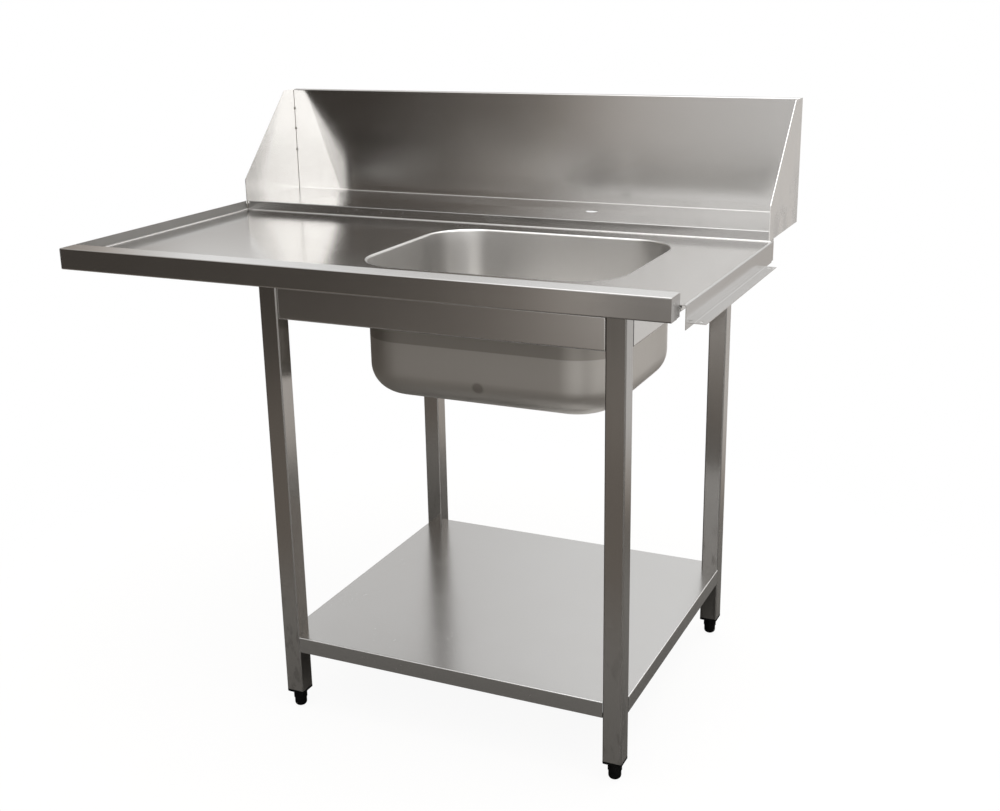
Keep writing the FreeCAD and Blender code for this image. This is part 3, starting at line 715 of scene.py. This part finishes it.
# %% Give each solid its finish
FINISH = {
    "worktop": DECK_STEEL,
    "docking_flange": DECK_STEEL,
    "splashback": SPLASH_STEEL,
    "bottom_shelf": SHELF_STEEL,
    "sink_bowl": BOWL_STEEL,
    "waste_backnut": WHITE_PLASTIC,
    "waste_seal": SEAL_RUBBER,
}
FINISH_BY_WORD = {
    "panel": PANEL_STEEL,
    "rim_cap": CAP_STEEL,
    "waste": WASTE_STEEL,
    "front_rail": RAIL_STEEL,
    "rear_rail": RAIL_STEEL,
    "_rail": SIDE_RAIL_STEEL,
    "stiffener": HIDDEN_STEEL,
    "bracket": HIDDEN_STEEL,
    "leg_": LEG_STEEL,
    "stem": STEM_STEEL,
    "foot": BLACK_PLASTIC,
}


def finish_of(name):
    """The finish of a node: its own, or that of the first word that its name holds."""
    if name in FINISH:
        return FINISH[name]
    return next(paint for word, paint in FINISH_BY_WORD.items() if word in name)


for name, node in nodes.items():
    node.data.materials.clear()
    node.data.materials.append(finish_of(name))
print("finished", len(nodes), "nodes with", len(set(map(finish_of, nodes))), "materials")

# %% [markdown]
# ## The pressed bowl
#
# The bowl is drawn from one sheet: its corners are wide arcs, its bottom edge is rounded,
# and its mouth rolls over into the deck. A box with bevelled edges could stand for it, but
# its corners would not run into each other smoothly. Seen from above, every level of the
# bowl is the same core rectangle grown by a radius, so one outline and one profile make the
# whole surface.

# %% Measure the bowl
ROLL_RADIUS, MOUTH_DEPTH = 0.0045, 0.004
CORNER_RADIUS, BOTTOM_RADIUS = 0.092, 0.054
WASTE_HOLE_RADIUS = 0.0249
WALL_TOP_DEPTH, WALL_FOOT_HEIGHT, WALL_LEVELS = 0.03, 0.08, 6
BOWL_CENTRE = (BOWL_LOW + BOWL_HIGH) / 2
DECK_LEVEL = BOWL_HIGH[2]
BOWL_FLOOR = BOWL_LOW[2] + BOWL_SHEET
HALF_LENGTH = (BOWL_HIGH[0] - BOWL_LOW[0]) / 2 - MOUTH_RADIUS
HALF_WIDTH = (BOWL_HIGH[1] - BOWL_LOW[1]) / 2 - MOUTH_RADIUS
print("the bowl is", round(2 * HALF_LENGTH, 3), "by", round(2 * HALF_WIDTH, 3), "m inside")

# %% Draw its outline and its profile


def core_outline(per_corner=22, per_side=10):
    """Core points and outward directions once round: at a corner of the core the direction
    turns by a quarter, and along a side the core point moves and the direction stays."""
    cores, directions = [], []
    reach = np.array([HALF_LENGTH - CORNER_RADIUS, HALF_WIDTH - CORNER_RADIUS])
    signs = np.array([[1, 1], [-1, 1], [-1, -1], [1, -1]])
    for quarter in range(4):
        turn = (quarter + np.linspace(0, 1, per_corner)) * np.pi / 2
        corner = signs[quarter] * reach
        cores.append(np.tile(corner, (per_corner, 1)))
        directions.append(np.stack([np.cos(turn), np.sin(turn)], axis=1))
        share = np.linspace(0, 1, per_side + 2)[1:-1, None]
        cores.append(corner + share * (signs[(quarter + 1) % 4] * reach - corner))
        directions.append(np.tile([np.cos(turn[-1]), np.sin(turn[-1])], (per_side, 1)))
    return np.concatenate(cores), np.concatenate(directions)


def bowl_profile(grown):
    """Inset and height from the mouth down to the edge of the flat floor, for one skin of the
    sheet: the mouth's roll, the straight wall and the rounded bottom edge."""
    mouth = arc((-ROLL_RADIUS, 0.0), ROLL_RADIUS - grown, 90, 0, 11)
    mouth[:, 1] = mouth[:, 1] * MOUTH_DEPTH / ROLL_RADIUS + DECK_LEVEL - MOUTH_DEPTH
    lip = np.array([[-MOUTH_RADIUS, mouth[0, 1]]])
    ends = DECK_LEVEL - WALL_TOP_DEPTH, BOWL_FLOOR + WALL_FOOT_HEIGHT
    wall = np.column_stack([np.full(WALL_LEVELS, -grown), np.linspace(*ends, WALL_LEVELS)])
    turn_centre = (BOTTOM_RADIUS, BOWL_FLOOR + BOTTOM_RADIUS)
    bottom = arc(turn_centre, BOTTOM_RADIUS + grown, 180, 270, 16)
    return np.concatenate([lip, mouth, wall, bottom])


print("the profile has", len(bowl_profile(0.0)), "points")

# %% Press the bowl


def bowl_skin(grown, floor_rings=8):
    """Rows of points from the mouth to the waste hole: the profile's rows, then rows that pass
    from the rounded rectangle at the floor's edge into the circle of the hole."""
    cores, directions = core_outline()
    profile = bowl_profile(grown)
    radius = (CORNER_RADIUS - profile[:, 0])[:, None, None]
    flat = cores[None] + radius * directions[None]
    height = np.broadcast_to(profile[:, 1][:, None, None], flat.shape[:2] + (1,))
    walls = np.concatenate([flat, height], axis=2)
    last = flat[-1]
    circle = WASTE_HOLE_RADIUS * last / np.linalg.norm(last, axis=1, keepdims=True)
    share = np.linspace(0, 1, floor_rings + 1)[1:, None, None]
    floor_flat = last[None] * (1 - share) + circle[None] * share
    floor_height = np.full(floor_flat.shape[:2] + (1,), profile[-1, 1])
    return np.concatenate([walls, np.concatenate([floor_flat, floor_height], axis=2)])


inner, outer = bowl_skin(0.0), bowl_skin(BOWL_SHEET)
rings = np.concatenate([inner, outer[::-1]])
rings[:, :, :2] += BOWL_CENTRE[:2]
bowl_faces = grid_faces(*rings.shape[:2], True, True)
bowl = facing_out(piece_from("pressed_bowl", rings, bowl_faces, "table", 30.0))
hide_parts("sink_bowl")
print("the bowl has", len(bowl.data.polygons), "faces")

# %% Finish the bowl inside, outside and round its lip
for paint in (BOWL_STEEL, BOWL_BACK_STEEL, DECK_STEEL):
    bowl.data.materials.append(paint)
INSIDE, OUTSIDE, LIP = 0, 1, 2
row = np.arange(len(bowl.data.polygons)) // rings.shape[1]
paint_of_row = np.where(row >= len(inner), OUTSIDE, np.where(row == 0, LIP, INSIDE))
bowl.data.polygons.foreach_set("material_index", paint_of_row.astype(np.int32))
print("the lip has", int((paint_of_row == LIP).sum()), "faces")

# %% [markdown]
# ## The cove at the foot of the ledge
#
# Where the ledge steps up from the deck the sheet turns in a small cove, which catches the
# light as a thin bright line. A bevel on the solid would do it, but the solid is fixed. So
# the cove is a thin piece of its own, a quarter arc carried along the line.

# %% Lay the cove
COVE_RADIUS, COVE_ROOT, COVE_START = 0.0022, 0.0003, -0.6085
HAIR = 0.0005  # how far a new piece ends before its neighbour's edge, or reaches past it

cove_centre = (STEP_FACE - COVE_RADIUS, DECK_LEVEL + COVE_RADIUS)
cove_back = [(STEP_FACE + COVE_ROOT, DECK_LEVEL - COVE_ROOT)]
cove_shape = np.concatenate([arc(cove_centre, COVE_RADIUS, -90, 0, 9), cove_back])
cove = carried("ledge_cove", cove_shape, "x", COVE_START, DOCK_EDGE - HAIR)
cove.data.materials.append(DECK_STEEL)
print("the cove has a radius of", round(COVE_RADIUS * 1000, 1), "mm")

# %% [markdown]
# ## The welds at the left
#
# The left panel meets the splashback in a corner with a dark seam and three tacks, and the
# short upright at the deck's left end is welded to the step. Weld metal could be a bump in
# the steel, but it stands proud and shows at the edge. The seam is a triangle carried up the
# corner, and each tack or bead is a flattened ball.

# %% Weld the left corner
WELD_STEEL = steel("weld steel", "z", tone=0.2, warmth=0.05, blur=0.45, brush=0.3, wave=0.0,
                   smudge=1.0)
SEAM_ROOT, SEAM_REACH, SEAM_START, SEAM_END = 0.0004, 0.0014, 0.8702, 1.0985
TACK_LEVELS, TACK_OUT, TACK_RADII = (0.961, 1.010, 1.056), 0.0006, (0.0017, 0.0017, 0.0032)

corner_x, corner_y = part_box("left_side_panel")[1][0], WALL_FACE
seam_shape = [
    (corner_x - SEAM_ROOT, corner_y + SEAM_ROOT),
    (corner_x - SEAM_ROOT, corner_y - SEAM_REACH),
    (corner_x + SEAM_REACH, corner_y + SEAM_ROOT),
]
seam = carried("corner_seam", seam_shape, "z", SEAM_START, SEAM_END)
seam.data.materials.append(WELD_STEEL)
for number, level in enumerate(TACK_LEVELS, 1):
    tack_place = (corner_x + TACK_OUT, corner_y - TACK_OUT, level)
    tack = ball(f"corner_tack_{number}", tack_place, TACK_RADII)
    tack.data.materials.append(WELD_STEEL)
print("the seam is", round((SEAM_END - SEAM_START) * 1000), "mm long")

# %% Weld the upright
SHEET = 0.0012
UPRIGHT_FACE = LEFT_END + SHEET
JOINT_RADII, BEAD_RADII = (0.0019, 0.0019, 0.0095), (0.0018, 0.0018, 0.0026)
JOINT_PROUD, JOINT_OFF, JOINT_LEVEL = 0.0009, 0.0006, DECK_LEVEL + 0.0115
BEAD_PROUD, BEAD_OFF, BEAD_LEVEL = 0.0008, 0.0035, DECK_LEVEL + 0.016

joint_place = (UPRIGHT_FACE + JOINT_PROUD, STEP_FACE - JOINT_OFF, JOINT_LEVEL)
joint = ball("upright_weld", joint_place, JOINT_RADII)
joint.data.materials.append(WELD_STEEL)
bead_places = {
    "left": (UPRIGHT_FACE + BEAD_PROUD, STEP_FACE - BEAD_OFF, BEAD_LEVEL),
    "right": (UPRIGHT_FACE + BEAD_PROUD + BEAD_OFF, STEP_FACE, BEAD_LEVEL),
}
for side, bead_place in bead_places.items():
    bead = ball(f"upright_weld_{side}", bead_place, BEAD_RADII)
    bead.data.materials.append(DECK_STEEL)
print("the upright has", 1 + len(bead_places), "welds")

# %% [markdown]
# ## The ends at the right
#
# At the dishwasher's side the deck turns down over the docking flange in a round fold, the
# flange's rear end is closed by a narrow strip, and a small tab closes the front rim. The
# fold could be shaded round with a bump, but only real roundness gives the bright line. It
# is a thin wire along the edge, and the strip and the tab are rectangles carried upwards.

# %% Round the docking edge
FOLD_PROUD, DOCK_FOLD_RADIUS = 0.0005, 0.0009


def fold_ring(edge, side, top, radius):
    """A ring in a fold's edge, just proud of both faces. Its centre lies inside each of them
    by its radius less that much. The side is 1 where the face looks to higher values."""
    inset = radius - FOLD_PROUD
    return wire_ring((edge - side * inset, top - inset), radius)


FLANGE_LOW, FLANGE_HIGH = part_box("docking_flange")
dock_ring = fold_ring(DOCK_EDGE, 1, DECK_LEVEL, DOCK_FOLD_RADIUS)
dock_ends = FLANGE_LOW[1] + HAIR, STEP_FACE - 2 * HAIR
edge = carried("docking_edge", dock_ring, "y", *dock_ends, sharp_degrees=60.0)
edge.data.materials.append(DECK_STEEL)
print("the docking edge is", round(dock_ends[1] - dock_ends[0], 3), "m long")

# %% Close the flange and the rim
DOCK_FACE, FLANGE_END_WIDTH, FLANGE_END_LEVELS = DOCK_EDGE + 0.003, 0.0115, (0.8125, 0.8492)
TAB_LEFT, TAB_RIGHT, TAB_FACE = DOCK_EDGE - 0.0108, DOCK_EDGE - 0.0052, FRONT_EDGE + 0.0437
TAB_LEVELS = 0.8405, DECK_LEVEL - 0.0028

end_low, end_high = FLANGE_HIGH[1] - HAIR, FLANGE_HIGH[1] + FLANGE_END_WIDTH
end_shape = rectangle((DOCK_FACE - SHEET, end_low), (DOCK_FACE, end_high))
flange_end = carried("docking_flange_end", end_shape, "z", *FLANGE_END_LEVELS)
flange_end.data.materials.append(DECK_STEEL)

tab_shape = rectangle((TAB_LEFT, TAB_FACE), (TAB_RIGHT, TAB_FACE + SHEET))
tab = carried("rim_end_tab", tab_shape, "z", *TAB_LEVELS)
tab.data.materials.append(CAP_STEEL)
print("the tab is", round((TAB_RIGHT - TAB_LEFT) * 1000, 1), "mm wide")

# %% [markdown]
# ## The rail's shade line and the shelf's bright folds
#
# A thin dark line runs down the right rail beside the front right leg: painted shade, for the
# shadow in the narrow gap between them. The shelf's front and right folds are real round
# edges, painted much lighter than the shelf as painted highlights. A colour alone could draw such
# lines, but they would lie flat from every side. All three are thin wires, a dark one in the face
# of the rail and two bright ones in the shelf's edges.

# %% Paint the shade line on the rail
# a near-black steel: painted shade for the gap between the right rail and the leg
SHADE_LINE_STEEL = steel("painted shade line", "z", tone=0.05, blur=0.6, brush=0.3, wave=0.0)
RAIL_SHADE_OFF, RAIL_SHADE_RADIUS, RAIL_SHADE_LEVELS = 0.0052, 0.0016, (0.776, 0.828)

FRONT_RIGHT_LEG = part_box("leg_front_right")
shade_line_centre = (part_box("right_rail")[1][0], FRONT_RIGHT_LEG[1][1] + RAIL_SHADE_OFF)
shade_line_ring = wire_ring(shade_line_centre, RAIL_SHADE_RADIUS)
shade_line = carried("right_rail_shade_line", shade_line_ring, "z", *RAIL_SHADE_LEVELS, sharp_degrees=60.0)
shade_line.data.materials.append(SHADE_LINE_STEEL)
print("the rail's shade line is", round(RAIL_SHADE_OFF * 1000, 1), "mm behind the leg")

# %% Fold the shelf's edges
# a steel much lighter than the shelf's: a painted highlight along its folds
HIGHLIGHT_FOLD_STEEL = steel("painted highlight fold", "x", tone=0.95, warmth=0.0, blur=0.14, brush=0.0, wave=0.0,
                   smudge=0.2)
SHELF_FOLD_RADIUS = 0.0014

SHELF_LOW, SHELF_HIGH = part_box("bottom_shelf")
front_ring = fold_ring(SHELF_LOW[1], -1, SHELF_HIGH[2], SHELF_FOLD_RADIUS)
front_ends = FRONT_LEFT_LEG[1][0], FRONT_RIGHT_LEG[0][0]
front_fold = carried("shelf_fold_front", front_ring, "x", *front_ends, sharp_degrees=60.0)
right_ring = fold_ring(SHELF_HIGH[0], 1, SHELF_HIGH[2], SHELF_FOLD_RADIUS)
right_ends = FRONT_RIGHT_LEG[1][1], REAR_RIGHT_LEG[0][1]
right_fold = carried("shelf_fold_right", right_ring, "y", *right_ends, sharp_degrees=60.0)
for fold in (front_fold, right_fold):
    fold.data.materials.append(HIGHLIGHT_FOLD_STEEL)
print("the shelf's front fold is", round(front_ends[1] - front_ends[0], 3), "m long")

# %% [markdown]
# ## The plugs in the legs
#
# Each square leg ends in a black plastic plug, and the levelling foot screws into it. From
# outside only the plug's rim shows, a square ring round the foot's collar. It could be cut
# from a plate with a hole, but one outline can pass from the square with rounded corners to
# the circle, when both are written for the same angles.

# %% Make the plug rims
PLUG_HALF, PLUG_CORNER, PLUG_BORE = 0.0176, 0.0025, 0.0133
PLUG_LOW, PLUG_HIGH, PLUG_CHAMFER, PLUG_TAPER = 0.0335, 0.0385, 0.0006, 0.97
PLUG_POINTS = 32


def square_outline(half, corner, count):
    """A square with rounded corners: for each angle, the corner's centre in that quarter plus
    the corner's radius in that direction."""
    turn = (np.arange(count) + 0.5) * 2 * np.pi / count
    way = np.stack([np.cos(turn), np.sin(turn)], axis=1)
    return (half - corner) * np.sign(way) + corner * way, way


square, way = square_outline(PLUG_HALF, PLUG_CORNER, PLUG_POINTS)
circle = PLUG_BORE * way
loops = [
    (square, PLUG_HIGH),
    (square, PLUG_LOW + PLUG_CHAMFER),
    (square * PLUG_TAPER, PLUG_LOW),
    (circle, PLUG_LOW),
    (circle, PLUG_HIGH),
]
rim = np.stack([np.column_stack([flat, np.full(PLUG_POINTS, level)]) for flat, level in loops])
rim_faces = grid_faces(len(loops), PLUG_POINTS, True, True)
for name in nodes:
    if name.startswith("foot_insert_"):
        low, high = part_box(name)
        middle = (low + high) / 2
        plug_points = rim + (middle[0], middle[1], 0.0)
        plug_name = name.replace("foot_insert", "plug_rim")
        plug = facing_out(piece_from(plug_name, plug_points, rim_faces, "table", 30.0))
        plug.data.materials.append(BLACK_PLASTIC)
print("each plug's rim is", round((PLUG_HIGH - PLUG_LOW) * 1000, 1), "mm high")
